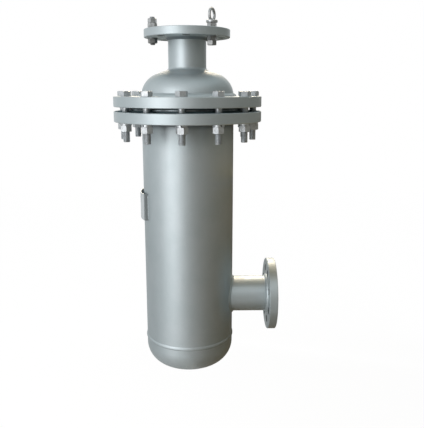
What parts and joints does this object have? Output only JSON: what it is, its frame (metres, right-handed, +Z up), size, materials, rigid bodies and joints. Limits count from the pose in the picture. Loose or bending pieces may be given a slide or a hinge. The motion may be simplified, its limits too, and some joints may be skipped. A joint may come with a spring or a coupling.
{
  "type": "steam separator",
  "caption": "Upright baffle-type steam separator: welded vessel with dished ends, bolted top cover, flanged side inlet, flanged top outlet, threaded drain and lift-out baffle pack.",
  "frame": {"origin": "centre of the drain socket's mouth, on the vessel axis at the bottom", "axes": "+Z up the vessel axis to the outlet, +X out of the side inlet along its axis, +Y to the back"},
  "size_m": [0.394, 0.35, 0.889],
  "materials": {
    "silver_paint": "semi-gloss silver grey paint",
    "zinc": "bright zinc plating",
    "gasket_steel": "bare stainless ring",
    "gasket_winding": "wound steel and graphite",
    "inner_steel": "bare mill steel"
  },
  "bodies": {
    "root": {"baffle_plate_1": "inner_steel", "baffle_plate_2": "inner_steel", "baffle_plate_3": "inner_steel", "baffle_plate_4": "inner_steel", "baffle_plate_5": "inner_steel", "baffle_plate_6": "inner_steel", "baffle_spacers": "inner_steel", "body_bolts": "zinc", "body_flange": "silver_paint", "body_flange_face_weld": "silver_paint", "body_flange_outer_weld": "silver_paint", "body_nuts": "zinc", "body_spring_washers": "zinc", "bottom_head": "silver_paint", "bottom_seam_weld": "silver_paint", "cover_flange": "silver_paint", "cover_flange_face_weld": "silver_paint", "cover_flange_outer_weld": "silver_paint", "cover_head": "silver_paint", "drain_socket": "silver_paint", "drain_socket_weld": "silver_paint", "flange_stud": "zinc", "gasket_ring": "gasket_steel", "gasket_winding": "gasket_winding", "impingement_plate": "inner_steel", "inlet_flange": "silver_paint", "inlet_flange_back_weld": "silver_paint", "inlet_flange_face_weld": "silver_paint", "inlet_pipe": "silver_paint", "inlet_pipe_weld": "silver_paint", "lifting_eye_bolt": "zinc", "lifting_nuts": "zinc", "lifting_washers": "zinc", "nameplate_bracket": "silver_paint", "outlet_flange": "silver_paint", "outlet_flange_back_weld": "silver_paint", "outlet_flange_face_weld": "silver_paint", "outlet_pipe": "silver_paint", "outlet_pipe_weld": "silver_paint", "shell": "silver_paint", "support_ring": "inner_steel", "tie_rod_nuts": "inner_steel", "tie_rods": "inner_steel"}
  },
  "joints": []
}
